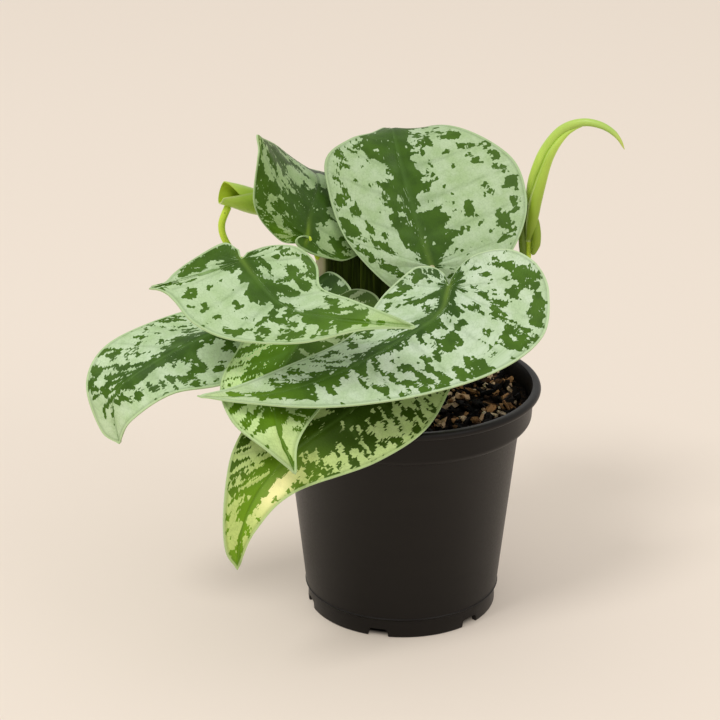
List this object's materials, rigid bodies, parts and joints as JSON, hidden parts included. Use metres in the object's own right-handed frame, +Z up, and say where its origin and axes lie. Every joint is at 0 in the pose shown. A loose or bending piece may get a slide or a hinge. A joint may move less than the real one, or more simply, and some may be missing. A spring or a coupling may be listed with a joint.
{
  "type": "potted satin pothos",
  "caption": "Bushy climbing house plant with silver-splashed heart-shaped leaves and rolled young leaves, in a round tapered nursery pot filled with bark soil.",
  "frame": {"origin": "middle of the whole plant's bounding box, on the surface that the pot stands on", "axes": "+Z up, -Y towards the side that the picture was taken from, +X to the right in the picture"},
  "size_m": [0.2078, 0.1594, 0.195],
  "materials": {
    "pot": "near-black moulded plastic with a satin sheen",
    "soil": "moist dark potting mix with chips of brown and tan bark",
    "stem": "smooth olive green, slightly glossy",
    "leaf": "satin leaf, dark green splashed with pale silver green, with a pale margin",
    "young_leaf": "smooth lime green, softly glossy"
  },
  "bodies": {
    "root": {"pot": "pot", "soil": "soil", "vine_right": "stem", "vine_left": "stem", "vine_front": "stem", "leaf_upper": "leaf", "leaf_front": "leaf", "leaf_left": "leaf", "leaf_back": "leaf", "leaf_far_left": "leaf", "leaf_pointing_down": "leaf", "leaf_over_rim": "leaf", "rolled_leaf_right": "young_leaf", "rolled_leaf_left": "young_leaf"}
  },
  "joints": []
}
